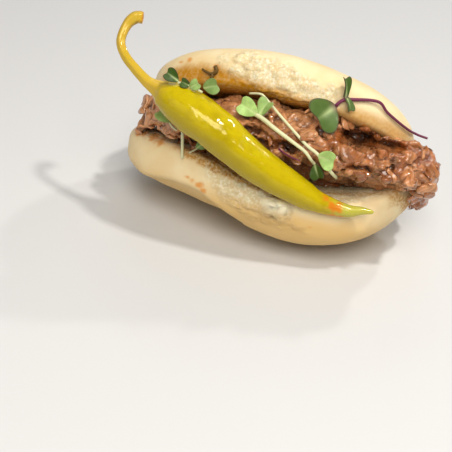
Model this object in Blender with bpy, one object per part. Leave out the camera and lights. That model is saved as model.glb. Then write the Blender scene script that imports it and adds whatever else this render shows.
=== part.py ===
"""A folded steamed bun filled with shredded braised beef, with a pickled pepper and cress sprigs laid on it.

The bun frame has X along the bun, -Y out of the mouth and +Z from the lower flap to the upper one.
Everything is modelled there and then leans back on the lower flap, which is flat where it rests.
Lengths are in metres.
"""

import math

import bmesh
import bpy
import numpy as np
from mathutils import Matrix, Vector, noise
from mathutils.bvhtree import BVHTree

MM = 0.001

# The bun lies on its lower flap and looks up by this much.
RECLINE = math.radians(23)

# Dough, laid flat before it is folded: two ovals that meet in a waist, where the fold comes.
FLAP_REACH = 66 * MM  # from the fold's middle to the lip, along the dough
WIDEST_REACH = 36 * MM  # from the fold's middle to where a flap is longest
LOWER_HALF_LENGTH = 56 * MM
UPPER_HALF_LENGTH = 50 * MM
LOWER_SHIFT = 2.5 * MM  # how far right of the fold's middle each flap lies
UPPER_SHIFT = 2 * MM
WAIST_SHARE = 0.26
WAIST_REACH = 17 * MM
LOWER_OUTLINE_POWER = 2.3
UPPER_OUTLINE_POWER = 2.05
FLAP_BLEND = 12 * MM
LOWER_SKIN_THICKNESS = 13 * MM  # from the dough's middle to the smooth outside
UPPER_SKIN_THICKNESS = 14.5 * MM
LOWER_CRUMB_THICKNESS = 10.5 * MM  # from the dough's middle to the inside
UPPER_CRUMB_THICKNESS = 6.5 * MM
FOLD_THINNING = 0.28
END_PLUMPNESS = 0.2  # how much thicker the skin side is at the lower flap's ends, at CUP_AT
PLUMPNESS_LEAN = 0.15
SKIN_POWER_AT_ENDS = 1.9
SKIN_POWER_AT_LIP = 3.3
CRUMB_POWER = 5.0
RIM_CROWDING = 0.7

# Fold: the dough turns tightly at the back and the flaps then open round the filling.
FLAP_ANGLE_AT_FOLD = math.radians(22)
FLAP_ANGLE_AT_LIP = math.radians(6)
FOLD_ARC = 10 * MM
LOWER_CUP = 11.5 * MM  # how far the ends of a flap curl in towards the other, at CUP_AT
UPPER_CUP = 6.5 * MM
LOWER_CUP_LEAN = 0.35  # how much more the right end curls than the mean of the two
UPPER_CUP_LEAN = 0.15
CUP_AT = 50 * MM
CUP_FADE = 40 * MM
LIFT = 8 * MM  # how much the lower flap is raised left of its middle
LIFT_AT = -20 * MM
LIFT_SPAN = 31 * MM
LIFT_FROM = 16 * MM  # reaches between which the lift comes in, so the base stays level
LIFT_FULL_AT = 50 * MM
DROP = 1.5 * MM  # how much it hangs near its right end
DROP_AT = 45 * MM
DROP_SPAN = 14 * MM
UNEVENNESS = 0.6 * MM
SWELL_ALONG = 13 * MM  # wavelengths of the dough's slow swell, over 2 pi
SWELL_OUT = 17 * MM
RIPPLE_ALONG = 7.5 * MM
RIPPLE_OUT = 11 * MM
RIPPLE_SHARE = 0.6

BASE_SINK = 3.4 * MM  # how much the soft lower flap is pressed flat
BASE_SOFTNESS = 0.8 * MM
BUN_GRID = 16
FOLD_SAMPLES = 500
DOUGH_COLOUR = (0.84, 0.72, 0.46)

GAP = 0.35 * MM  # between pieces that touch

# Beef filling: a heap that fills the fold, shows along the mouth and hangs out at the right end
FILLING_LEFT = -51 * MM
FILLING_RIGHT = 63 * MM
FILLING_BACK = 6 * MM  # depths, out from the fold
FILLING_FRONT = 62 * MM
FILLING_POWER = 3.1
FILLING_LEFT_ROUNDNESS = 0.9  # how much rounder the left end is than the middle
FILLING_RIGHT_BLUNTNESS = 1.5  # how much squarer the right end is
FILLING_OVERFILL = 2.0 * MM
FILLING_END_HALF_HEIGHT = 12.5 * MM
FILLING_SAG = 0.5 * MM  # at its right end, past the bun
FILLING_END_RISE = 8 * MM  # how much further up the filling reaches there
FILLING_UNDERCUT = 22 * MM  # how far its lower side lies back on the lower flap
FILLING_GRID = 13
CAVITY_LEAST = 2 * MM  # half the gap left for filling where the flaps nearly meet
BEEF_COLOUR = (0.28, 0.12, 0.055)
LUMP_HEIGHT = 2.4 * MM
LUMP_SIZE = 10 * MM

# Pickled pepper, from its stalk's end to its tip: along X, out from the fold, up, and its radius there, in mm
PEPPER_ROUTE = (
    (-49.4, 57.0, 37.1, 1.9),
    (-52.0, 57.5, 36.6, 2.1),
    (-54.2, 58.5, 33.3, 1.7),
    (-54.7, 60.0, 27.8, 1.6),
    (-51.8, 61.5, 23.3, 1.6),
    (-46.9, 63.0, 19.6, 1.7),
    (-41.7, 64.0, 16.3, 2.0),
    (-37.3, 64.5, 14.7, 3.1),
    (-32.7, 65.0, 13.1, 5.8),
    (-26.4, 65.5, 10.7, 7.2),
    (-15.4, 65.8, 6.1, 7.4),
    (-5.7, 64.6, 0.7, 6.8),
    (6.5, 62.3, -5.3, 6.1),
    (18.9, 59.1, -10.0, 4.8),
    (23.4, 58.2, -11.4, 3.8),
    (29.6, 57.3, -12.4, 3.0),
    (35.0, 56.9, -12.5, 2.2),
    (39.4, 56.4, -11.5, 1.4),
    (42.6, 56.1, -11.2, 0.8),
)
PEPPER_STEP = 2.8 * MM
PEPPER_BEVEL = 4
PEPPER_COLOUR = (0.62, 0.5, 0.02)
WELD = 0.01 * MM

# Cress sprigs, seen from the mouth, in mm: a stem is points (along X, up), a leaf (along X, up, length, width,
# turn in degrees).
STEM_RADIUS = 0.65 * MM
STEM_REACH = 1.8 * MM  # how far beside itself a stem looks for what it lies on
STEM_STEP = 3.2 * MM
STEM_BEVEL = 2
LOOKS_AROUND = 8  # directions in which a stem looks for what it lies on
LEAF_MEETS_STEM = 0.8  # times the leaf's length
BEFORE_MOUTH = -0.2
CRESS_COLOUR = (0.18, 0.28, 0.07)
LEAF_THICKNESS = 1.3 * MM
LAY_CLEARANCE = 0.6 * MM
SPRIGS = {
    "purple_sprig": {
        "stem": (
            (22.5, 20.0),
            (24.4, 23.4),
            (27.9, 24.8),
            (36.2, 25.7),
            (40.5, 22.4),
            (50.0, 17.4),
            (56.0, 16.2),
        ),
        "leaves": ((20.8, 16.0, 11.0, 9.5, 75), (24.6, 26.5, 12.0, 3.6, 110)),
    },
    "paired_sprig": {
        "stem": ((-5.0, 14.4), (3.3, 10.7), (13.0, 6.2), (16.6, 4.3), (19.4, 1.4), (21.0, -0.8)),
        "leaves": ((-7.0, 14.6, 9.0, 5.6, 20), (-0.6, 15.6, 6.6, 5.0, 78), (22.6, -2.4, 6.6, 4.6, 130)),
    },
    "heart_sprig": {
        "stem": ((-7.4, 19.4), (-3.0, 20.0), (4.9, 14.6), (11.6, 9.9), (16.5, 6.6), (22.5, 4.4)),
        "leaves": ((24.8, 3.8, 7.4, 6.8, 140),),
    },
    "clustered_sprig": {
        "stem": ((-32.6, 19.0), (-27.0, 18.2), (-21.0, 18.4), (-16.5, 19.0)),
        "leaves": ((-32.6, 19.2, 6.0, 5.0, 140), (-24.0, 18.9, 5.0, 4.0, 30), (-17.2, 19.2, 6.2, 5.0, 60)),
    },
}


def fresh_scene():
    for obj in list(bpy.data.objects):
        bpy.data.objects.remove(obj, do_unlink=True)


def new_collection(name):
    made = bpy.data.collections.new(name)
    bpy.context.scene.collection.children.link(made)
    return made


def material(name, colour, roughness):
    made = bpy.data.materials.new(name)
    made.use_nodes = True
    shader = made.node_tree.nodes["Principled BSDF"]
    shader.inputs["Base Color"].default_value = (*colour, 1)
    shader.inputs["Roughness"].default_value = roughness
    shader.inputs["Metallic"].default_value = 0
    return made


def round_cube(grid):
    """A cube whose faces are cut into grid x grid quads and blown up to a unit sphere."""
    mesh = bmesh.new()
    bmesh.ops.create_cube(mesh, size=2)
    bmesh.ops.subdivide_edges(mesh, edges=mesh.edges, cuts=grid - 1, use_grid_fill=True)
    for vertex in mesh.verts:
        evened = Vector(math.tan(part * math.pi / 4) for part in vertex.co)
        vertex.co = evened.normalized()
    return mesh


def finish_object(mesh, name, collection, look):
    bmesh.ops.recalc_face_normals(mesh, faces=mesh.faces)
    if mesh.calc_volume(signed=True) < 0:
        bmesh.ops.reverse_faces(mesh, faces=mesh.faces)
    data = bpy.data.meshes.new(name)
    mesh.to_mesh(data)
    mesh.free()
    data.shade_smooth()
    data.materials.append(look)
    made = bpy.data.objects.new(name, data)
    collection.objects.link(made)
    return made


def signed_power(value, power):
    return math.copysign(abs(value) ** power, value)


# Bun


def fold_table():
    """Reach along the dough's middle from the fold, with the depth, height and slope it has there."""
    reach = np.linspace(0, FLAP_REACH * 1.1, FOLD_SAMPLES)
    opening = FLAP_ANGLE_AT_FOLD + (FLAP_ANGLE_AT_LIP - FLAP_ANGLE_AT_FOLD) * reach / FLAP_REACH
    slope = opening + (math.pi / 2 - FLAP_ANGLE_AT_FOLD) * np.exp(-reach / FOLD_ARC)
    step = reach[1] - reach[0]
    depth = np.concatenate([[0], np.cumsum((np.cos(slope[1:]) + np.cos(slope[:-1])) / 2) * step])
    height = np.concatenate([[0], np.cumsum((np.sin(slope[1:]) + np.sin(slope[:-1])) / 2) * step])
    return reach, depth, height, slope


FOLD = fold_table()


def uneven(x, reach):
    """The slow swell and dip of hand-shaped dough."""
    return UNEVENNESS * (
        math.sin(x / SWELL_ALONG + 0.6) * math.cos(reach / SWELL_OUT + 1.1)
        + RIPPLE_SHARE * math.sin(x / RIPPLE_ALONG - reach / RIPPLE_OUT)
    )


def by_flap(reach, lower, upper):
    """A size that is one value on the lower flap, another on the upper one, and blends over the fold."""
    return lower + (upper - lower) * (0.5 + 0.5 * math.tanh(reach / FLAP_BLEND))


def half_length_at(reach):
    """Half the dough's length along X, at that reach from the fold."""
    longest = by_flap(reach, LOWER_HALF_LENGTH, UPPER_HALF_LENGTH)
    if abs(reach) < WIDEST_REACH:
        return longest * (1 - WAIST_SHARE * (1 - abs(reach) / WIDEST_REACH) ** 2)
    towards_lip = min(1.0, (abs(reach) - WIDEST_REACH) / (FLAP_REACH - WIDEST_REACH))
    power = LOWER_OUTLINE_POWER if reach < 0 else UPPER_OUTLINE_POWER
    return longest * (1 - towards_lip**power) ** (1 / power)


def dough_point(direction):
    """Where a point of the unit sphere lies on the folded dough, in the bun frame."""
    flat = math.hypot(direction.x, direction.y)
    turn = math.atan2(direction.y, direction.x)
    share = min(1.0, flat**RIM_CROWDING)
    rim_reach = FLAP_REACH * signed_power(math.sin(turn), 2 / LOWER_OUTLINE_POWER)
    reach = share * rim_reach
    x = share * math.copysign(half_length_at(rim_reach), math.cos(turn))
    x += by_flap(reach, LOWER_SHIFT, UPPER_SHIFT)
    if direction.z > 0:
        along_lip = math.sin(turn) ** 2
        power = SKIN_POWER_AT_ENDS + (SKIN_POWER_AT_LIP - SKIN_POWER_AT_ENDS) * along_lip
        thickness = by_flap(reach, LOWER_SKIN_THICKNESS, UPPER_SKIN_THICKNESS)
    else:
        power = CRUMB_POWER
        thickness = -by_flap(reach, LOWER_CRUMB_THICKNESS, UPPER_CRUMB_THICKNESS)
    thickness *= 1 - FOLD_THINNING * math.exp(-((reach / WAIST_REACH) ** 2))
    if direction.z > 0 and reach < 0:
        thickness *= 1 + (END_PLUMPNESS + PLUMPNESS_LEAN * x / CUP_AT) * (x / CUP_AT) ** 2
    rise = thickness * (1 - share**power) ** (1 / power)
    if direction.z > 0:
        rise += uneven(x, reach) * (1 - share**4)
    return folded(x, reach, rise)


def folded(x, reach, rise):
    side = -1 if reach < 0 else 1
    depth, height, slope = (float(np.interp(abs(reach), FOLD[0], column)) for column in FOLD[1:])
    depth -= rise * math.sin(slope)
    height += rise * math.cos(slope)
    height -= curl(x, reach)
    return Vector((x, -depth, side * height))


def eased(share):
    """0 to 1 with a soft start and a soft end."""
    share = min(1.0, max(0.0, share))
    return share * share * (3 - 2 * share)


def curl(x, reach):
    """How far a flap is bent in towards the other at x, fading out towards the fold."""
    cup = LOWER_CUP if reach < 0 else UPPER_CUP
    lean = LOWER_CUP_LEAN if reach < 0 else UPPER_CUP_LEAN
    curled = cup * (1 + lean * x / CUP_AT) * (x / CUP_AT) ** 2 * eased(abs(reach) / CUP_FADE)
    if reach >= 0:
        return curled
    lift = LIFT * math.exp(-(((x - LIFT_AT) / LIFT_SPAN) ** 2))
    lift -= DROP * math.exp(-(((x - DROP_AT) / DROP_SPAN) ** 2))
    return curled + lift * eased((-reach - LIFT_FROM) / (LIFT_FULL_AT - LIFT_FROM))


UP_IN_BUN_FRAME = Vector((0, -math.sin(RECLINE), math.cos(RECLINE)))


def press_flat(mesh):
    """Flattens the lowest part of the bun where it rests, and rounds the flat's edge."""
    lowest = min(vertex.co.dot(UP_IN_BUN_FRAME) for vertex in mesh.verts)
    floor = lowest + BASE_SINK
    for vertex in mesh.verts:
        above = vertex.co.dot(UP_IN_BUN_FRAME) - floor
        if above >= BASE_SOFTNESS:
            continue
        wanted = 0.0 if above <= -BASE_SOFTNESS else (above + BASE_SOFTNESS) ** 2 / (4 * BASE_SOFTNESS)
        vertex.co += UP_IN_BUN_FRAME * (wanted - above)


def make_bun(collection):
    mesh = round_cube(BUN_GRID)
    for vertex in mesh.verts:
        vertex.co = dough_point(vertex.co)
    press_flat(mesh)
    return finish_object(mesh, "bun", collection, material("steamed_dough", DOUGH_COLOUR, 0.55))


# Beef filling


def cavity_half_height(depth):
    """Half the gap between the flaps at that depth, and a little more, which the bun's cutter trims."""
    middle = float(np.interp(depth, FOLD[1], FOLD[2]))
    return max(middle - UPPER_CRUMB_THICKNESS, CAVITY_LEAST) + FILLING_OVERFILL


def filling_point(direction):
    bluntness = FILLING_RIGHT_BLUNTNESS if direction.x > 0 else FILLING_LEFT_ROUNDNESS
    power = FILLING_POWER + bluntness * direction.x
    spread = sum(abs(part) ** power for part in direction) ** (-1 / power)
    along, out, up = direction * spread
    x = (FILLING_LEFT + FILLING_RIGHT) / 2 + along * (FILLING_RIGHT - FILLING_LEFT) / 2
    front = FILLING_FRONT - FILLING_UNDERCUT * max(0.0, -up)
    depth = (FILLING_BACK + front) / 2 - out * (front - FILLING_BACK) / 2
    side = math.copysign(1, up)
    height = max(cavity_half_height(depth) - curl(x, side * depth), FILLING_END_HALF_HEIGHT)
    towards_right_end = max(0.0, along) ** 4
    rise = towards_right_end * (FILLING_END_RISE * max(0.0, up) - FILLING_SAG)
    return Vector((x, -depth, height * up + rise))


def make_filling(collection):
    mesh = round_cube(FILLING_GRID)
    for vertex in mesh.verts:
        vertex.co = filling_point(vertex.co)
    mesh.normal_update()
    lumps = {
        vertex: LUMP_HEIGHT * noise.noise(vertex.co / LUMP_SIZE) * vertex.normal for vertex in mesh.verts
    }
    for vertex, lump in lumps.items():
        vertex.co += lump
    return finish_object(mesh, "beef_filling", collection, material("braised_beef", BEEF_COLOUR, 0.3))


def grown_cutter(piece, collection):
    """A copy of a piece, larger all over by the gap that touching pieces keep."""
    mesh = bmesh.new()
    mesh.from_mesh(piece.data)
    mesh.normal_update()
    grown = {vertex: vertex.co + vertex.normal * GAP for vertex in mesh.verts}
    for vertex, place in grown.items():
        vertex.co = place
    data = bpy.data.meshes.new(piece.name + "_cutter")
    mesh.to_mesh(data)
    mesh.free()
    cutter = bpy.data.objects.new(piece.name + "_cutter", data)
    cutter.hide_render = True
    cutter.display_type = "WIRE"
    collection.objects.link(cutter)
    return cutter


def cut_by(piece, cutter):
    boolean = piece.modifiers.new("cut_by_" + cutter.name, "BOOLEAN")
    boolean.operation = "DIFFERENCE"
    boolean.solver = "EXACT"
    boolean.object = cutter


# Pepper and sprigs


def smooth_route(points, step):
    """Points a step apart on the Catmull-Rom curve through the given ones, with their fourth value."""
    points = [np.array(point) for point in points]
    ends = [2 * points[0] - points[1], *points, 2 * points[-1] - points[-2]]
    route = []
    for before, start, end, after in zip(ends, ends[1:], ends[2:], ends[3:]):
        count = max(1, round(np.linalg.norm((end - start)[:3]) / step))
        for share in np.arange(count) / count:
            route.append(
                start
                + share * (end - before) / 2
                + share**2 * (before - 2.5 * start + 2 * end - after / 2)
                + share**3 * (1.5 * (start - end) + (after - before) / 2)
            )
    return route + [points[-1]]


def tube(name, route, sides_level):
    """A closed mesh along a route of (x, y, z, radius)."""
    curve = bpy.data.curves.new(name, "CURVE")
    curve.dimensions = "3D"
    curve.bevel_depth = 1.0
    curve.bevel_resolution = sides_level
    curve.use_fill_caps = True
    spline = curve.splines.new("POLY")
    spline.points.add(len(route) - 1)
    for point, (x, y, z, radius) in zip(spline.points, route):
        point.co = (x, y, z, 1)
        point.radius = radius
    drawn = bpy.data.objects.new(name + "_curve", curve)
    bpy.context.scene.collection.objects.link(drawn)
    evaluated = drawn.evaluated_get(bpy.context.evaluated_depsgraph_get())
    mesh = bmesh.new()
    mesh.from_mesh(bpy.data.meshes.new_from_object(evaluated))
    bmesh.ops.remove_doubles(mesh, verts=mesh.verts, dist=WELD)
    bpy.data.objects.remove(drawn, do_unlink=True)
    return mesh


def make_pepper(collection):
    route = [(x * MM, -depth * MM, z * MM, radius * MM) for x, depth, z, radius in PEPPER_ROUTE]
    mesh = tube("pickled_pepper", smooth_route(route, PEPPER_STEP), PEPPER_BEVEL)
    look = material("pickled_pepper_skin", PEPPER_COLOUR, 0.25)
    return finish_object(mesh, "pickled_pepper", collection, look)


def surface_of(piece):
    """A search tree of a piece's evaluated surface, in the bun frame."""
    evaluated = piece.evaluated_get(bpy.context.evaluated_depsgraph_get())
    mesh = bmesh.new()
    mesh.from_mesh(evaluated.to_mesh())
    tree = BVHTree.FromBMesh(mesh)
    mesh.free()
    evaluated.to_mesh_clear()
    return tree


def front_at(x, z, surfaces):
    """The Y of the foremost surface behind (x, z), or None."""
    start = Vector((x, BEFORE_MOUTH, z))
    hits = [surface.ray_cast(start, Vector((0, 1, 0)))[0] for surface in surfaces]
    return min((hit.y for hit in hits if hit), default=None)


def foremost(x, z, reach, surfaces):
    """The Y of the foremost surface within reach of (x, z), or None."""
    around = [(x, z)]
    for angle in np.arange(LOOKS_AROUND) * 2 * math.pi / LOOKS_AROUND:
        around.append((x + reach * math.cos(angle), z + reach * math.sin(angle)))
    fronts = [front_at(*place, surfaces) for place in around]
    return min((front for front in fronts if front is not None), default=None)


def bridged(fronts):
    """The fronts as a stiff stem meets them: it touches the foremost ones and spans the hollows between."""
    touched = []
    for here in enumerate(fronts):
        if here[1] is None:
            continue
        while len(touched) > 1 and is_behind(touched[-1], touched[-2], here):
            touched.pop()
        touched.append(here)
    return np.interp(range(len(fronts)), *zip(*touched))


def is_behind(middle, start, end):
    share = (middle[0] - start[0]) / (end[0] - start[0])
    return middle[1] >= start[1] + share * (end[1] - start[1])


def leaf_pad(leaf, y):
    x, z, length, width, turn = leaf
    mesh = bmesh.new()
    place = (
        Matrix.Translation((x * MM, y, z * MM))
        @ Matrix.Rotation(-math.radians(turn), 4, "Y")
        @ Matrix.Diagonal((length * MM / 2, LEAF_THICKNESS / 2, width * MM / 2, 1))
    )
    bmesh.ops.create_uvsphere(mesh, u_segments=10, v_segments=6, radius=1, matrix=place)
    return mesh


def lay_stem(spec, surfaces):
    """The stem's route, just in front of what is behind it and level with its leaves where it meets them."""
    flat = smooth_route([(x * MM, 0, z * MM, STEM_RADIUS) for x, z in spec["stem"]], STEM_STEP)
    fronts = [foremost(x, z, STEM_REACH, surfaces) for x, _, z, _ in flat]
    for x, z, length, width, _ in spec["leaves"]:
        leaf_front = foremost(x * MM, z * MM, (length + width) * MM / 4, surfaces)
        for index, (stem_x, _, stem_z, _) in enumerate(flat):
            if math.hypot(stem_x - x * MM, stem_z - z * MM) < length * MM * LEAF_MEETS_STEM:
                fronts[index] = min(fronts[index] or 0, leaf_front)
    laid = zip(flat, bridged(fronts))
    return [(x, front - radius - LAY_CLEARANCE, z, radius) for (x, _, z, radius), front in laid]


def make_sprig(name, spec, surfaces, collection, cutters):
    """A stem laid over what is behind it, with its leaves joined on."""
    look = material(name + "_green", CRESS_COLOUR, 0.5)
    laid = lay_stem(spec, surfaces)
    sprig = finish_object(tube(name, laid, STEM_BEVEL), name, collection, look)
    for index, leaf in enumerate(spec["leaves"]):
        x, z = leaf[0] * MM, leaf[1] * MM
        nearest = min(laid, key=lambda point: math.hypot(point[0] - x, point[2] - z))
        pad = finish_object(leaf_pad(leaf, nearest[1]), f"{name}_leaf_{index}", cutters, look)
        pad.hide_render = True
        pad.display_type = "WIRE"
        union = sprig.modifiers.new(pad.name, "BOOLEAN")
        union.operation = "UNION"
        union.solver = "EXACT"
        union.object = pad
    return sprig


def stand_on_origin(lean, pieces):
    """Moves everything so that the origin is under the middle of the whole, at its lowest point."""
    bpy.context.view_layer.update()
    depsgraph = bpy.context.evaluated_depsgraph_get()
    corners = []
    for piece in pieces:
        evaluated = piece.evaluated_get(depsgraph)
        mesh = evaluated.to_mesh()
        corners.extend(lean.matrix_world @ vertex.co for vertex in mesh.vertices)
        evaluated.to_mesh_clear()
    low = [min(corner[axis] for corner in corners) for axis in range(3)]
    high = [max(corner[axis] for corner in corners) for axis in range(3)]
    lean.location = (-(low[0] + high[0]) / 2, -(low[1] + high[1]) / 2, -low[2])


def main():
    fresh_scene()
    parts = new_collection("beef_bao_bun")
    cutters = new_collection("cutters")
    lean = bpy.data.objects.new("lean", None)
    parts.objects.link(lean)
    lean.rotation_euler.x = -RECLINE

    bun = make_bun(parts)
    pepper = make_pepper(parts)
    filling = make_filling(parts)
    for solid in (bun, pepper):
        cut_by(filling, grown_cutter(solid, cutters))
    pieces = [bun, filling, pepper]
    for name, spec in SPRIGS.items():
        surfaces = [surface_of(piece) for piece in pieces]
        pieces.append(make_sprig(name, spec, surfaces, parts, cutters))
    for piece in [*pieces, *cutters.objects]:
        piece.parent = lean
    stand_on_origin(lean, pieces)


main()
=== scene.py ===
"""The looks of a beef bao bun: a folded steamed bun, wet shredded beef, a pickled pepper and cress sprigs."""

import math
from collections import namedtuple

import bmesh
import bpy
import numpy as np
from mathutils import Matrix, Vector, noise
from mathutils.bvhtree import BVHTree
from mathutils.kdtree import KDTree


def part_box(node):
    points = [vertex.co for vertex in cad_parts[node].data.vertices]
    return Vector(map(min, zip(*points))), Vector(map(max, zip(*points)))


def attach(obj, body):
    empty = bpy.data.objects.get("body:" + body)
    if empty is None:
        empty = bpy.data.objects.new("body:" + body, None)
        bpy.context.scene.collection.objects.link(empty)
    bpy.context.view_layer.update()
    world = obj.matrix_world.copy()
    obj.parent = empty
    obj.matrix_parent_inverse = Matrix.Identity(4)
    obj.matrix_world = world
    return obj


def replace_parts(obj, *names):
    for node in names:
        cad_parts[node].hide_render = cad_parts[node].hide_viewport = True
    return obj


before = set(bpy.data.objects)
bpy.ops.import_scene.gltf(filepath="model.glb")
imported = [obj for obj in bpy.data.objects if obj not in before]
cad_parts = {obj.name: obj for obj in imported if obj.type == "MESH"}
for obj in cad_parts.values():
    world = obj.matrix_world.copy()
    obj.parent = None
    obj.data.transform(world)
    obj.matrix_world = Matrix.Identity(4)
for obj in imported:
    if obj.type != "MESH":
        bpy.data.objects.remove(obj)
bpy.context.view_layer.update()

MM = 0.001

# ---- Bun ----
# One oval of soft wheat dough, folded in two and steamed. Its skin is smooth and pale, its inside is open
# crumb, and the lips are torn where the bun was pulled open. It is shaped in its own frame, in mm: X along
# the bun, -Y out of the mouth, +Z to the upper flap. The whole then leans back on its lower flap.
RECLINE = math.radians(23)
FLAP_REACH = 66
WIDEST_REACH = 36
LOWER_HALF_LENGTH = 56
UPPER_HALF_LENGTH = 50
LOWER_SHIFT = 2.5
UPPER_SHIFT = 2
WAIST_SHARE = 0.26
WAIST_REACH = 17
LOWER_OUTLINE_POWER = 2.3
UPPER_OUTLINE_POWER = 2.05
FLAP_BLEND = 12
LOWER_SKIN_THICKNESS = 13
UPPER_SKIN_THICKNESS = 14.5
LOWER_CRUMB_THICKNESS = 10.5
UPPER_CRUMB_THICKNESS = 6.5
FOLD_THINNING = 0.28
END_PLUMPNESS = 0.2
PLUMPNESS_LEAN = 0.15
SKIN_POWER_AT_ENDS = 1.9
SKIN_POWER_AT_LIP = 3.3
CRUMB_POWER = 5.0
RIM_CROWDING = 0.7
FLAP_ANGLE_AT_FOLD = math.radians(22)
FLAP_ANGLE_AT_LIP = math.radians(6)
FOLD_ARC = 10
LOWER_CUP = 11.5
UPPER_CUP = 6.5
LOWER_CUP_LEAN = 0.35
UPPER_CUP_LEAN = 0.15
CUP_AT = 50
CUP_FADE = 40
LIFT = 8
LIFT_AT = -20
LIFT_SPAN = 31
LIFT_FROM = 16
LIFT_FULL_AT = 50
DROP = 1.5
DROP_AT = 45
DROP_SPAN = 14
UNEVENNESS = 0.6
BASE_SINK = 3.4
BASE_SOFTNESS = 0.8
BUN_GRID = 122

# What the surface shows, on the front as (X, Z) in mm: torn patches, then lines and spots
Patch = namedtuple("Patch", "x z half_length half_height turn")
UPPER_TEAR = Patch(2.5, 26.0, 21, 6.0, math.radians(-9))
LOWER_TEAR = Patch(1.0, -16.5, 19, 6.6, math.radians(-20))
CRUMB_LUMP = Patch(10.3, -17.2, 6.0, 5.4, 0)
CRUMB_LUMP_HEIGHT = 2.2
# Along this line the underside's skin is tucked in
UNDERSIDE_CREASE = (
    (-42, -19.6), (-38.8, -19.0), (-33.5, -17.9), (-29.1, -17.4), (-22.8, -17.6),
    (-17.9, -18.5), (-13.8, -21.0), (-9.7, -23.0), (-4.7, -25.3), (2, -28),
)
CREASE_DEPTH = 2.5
RIDGE_ABOVE_CREASE = 0.5
# The upper edge of the band along the upper lip that the filling has soaked, darkened further by painted
# shade under the lip
SOAKED_LIP = (
    (-44, 18.0), (-36, 23.0), (-27, 25.6), (-19, 26.0), (-13.5, 24.6), (-8, 24.0), (-3.5, 23.5), (2, 23.0),
    (7, 22.6), (12, 22.0), (17, 21.4), (22, 20.8), (28, 21.8), (34, 21.4), (42, 20.0), (50, 17.0),
)
# The crest of the lower lip, golden where the dough touched the pan
TOASTED_EDGE = (
    (-27.7, -4.9), (-23.7, -6.5), (-18.8, -7.7), (-13.6, -8.9), (-7.8, -9.8),
    (-3.4, -10.3), (1.8, -11.2), (5.5, -12.2), (9.3, -13.4),
)
TOASTED_INSIDE_AT = -46.0
BROWNED_END = ((50, -6.0), (53.5, -6.6), (54.5, -9.5))
LIP_ROLL = 2.6
LIP_ROLL_WIDTH = 0.07
# Spots of sauce: X, Z and radius
SAUCE_SPOTS = (
    (-36.0, 24.6, 1.0), (-32.4, 26.2, 0.9), (-21.8, 25.4, 1.3), (-26.0, 22.0, 1.2), (-23.4, -14.2, 0.7),
    (-20.9, -14.8, 1.3), (-18.6, -15.8, 1.4), (-16.4, -17.6, 0.9), (-49.0, -4.2, 2.8), (-45.0, -4.0, 2.6),
    (-41.0, -4.4, 2.4), (-37.0, -4.8, 1.8), (23.4, -21.5, 0.7), (33.0, 16.5, 0.8),
)


def edit_mesh(data, change=None, sources=None):
    """Puts the sources, or else the mesh itself, through a change and back into the mesh."""
    mesh = bmesh.new()
    for source in sources or [data]:
        mesh.from_mesh(source)
    if change:
        change(mesh)
    mesh.to_mesh(data)
    mesh.free()
    return data


def cut_round_cube(mesh):
    """A cube whose faces are cut into a grid of quads and blown up to a unit sphere."""
    bmesh.ops.create_cube(mesh, size=2)
    bmesh.ops.subdivide_edges(mesh, edges=mesh.edges, cuts=BUN_GRID - 1, use_grid_fill=True)
    for vertex in mesh.verts:
        vertex.co = Vector(math.tan(part * math.pi / 4) for part in vertex.co).normalized()


def read(items, name, width=1, kind=float):
    """What each of a mesh's items holds under a name, as an array."""
    found = np.zeros(len(items) * width, kind)
    items.foreach_get(name, found)
    return found.reshape(-1, width) if width > 1 else found


def points_of(data):
    return read(data.vertices, "co", 3)


def normals_of(data):
    return read(data.vertex_normals, "vector", 3)


def set_points(data, points):
    data.vertices.foreach_set("co", np.asarray(points, np.float32).ravel())
    data.update()


def set_mask(data, name, values):
    data.attributes.new(name, "FLOAT", "POINT").data.foreach_set("value", np.asarray(values, np.float32))


def step_between(low, high, values):
    share = np.clip((values - low) / (high - low), 0, 1)
    return share * share * (3 - 2 * share)


def bell(values, width):
    """1 where the values are zero, fading to nothing on both sides."""
    return np.exp(-((values / width) ** 2))


def by_flap(reach, lower, upper):
    return lower + (upper - lower) * (0.5 + 0.5 * np.tanh(reach / FLAP_BLEND))


def fold_line():
    """Depth, height and slope of the dough's middle against reach from the fold."""
    reach = np.linspace(0, FLAP_REACH * 1.1, 500)
    opening = FLAP_ANGLE_AT_FOLD + (FLAP_ANGLE_AT_LIP - FLAP_ANGLE_AT_FOLD) * reach / FLAP_REACH
    slope = opening + (math.pi / 2 - FLAP_ANGLE_AT_FOLD) * np.exp(-reach / FOLD_ARC)
    step = reach[1] - reach[0]
    depth = np.concatenate([[0], np.cumsum((np.cos(slope[1:]) + np.cos(slope[:-1])) / 2) * step])
    height = np.concatenate([[0], np.cumsum((np.sin(slope[1:]) + np.sin(slope[:-1])) / 2) * step])
    return reach, depth, height, slope


def half_length_at(reach):
    longest = by_flap(reach, LOWER_HALF_LENGTH, UPPER_HALF_LENGTH)
    waist = longest * (1 - WAIST_SHARE * (1 - np.minimum(np.abs(reach) / WIDEST_REACH, 1)) ** 2)
    to_lip = np.clip((np.abs(reach) - WIDEST_REACH) / (FLAP_REACH - WIDEST_REACH), 0, 1)
    power = np.where(reach < 0, LOWER_OUTLINE_POWER, UPPER_OUTLINE_POWER)
    rounded = longest * (1 - to_lip**power) ** (1 / power)
    return np.where(np.abs(reach) < WIDEST_REACH, waist, rounded)


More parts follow.
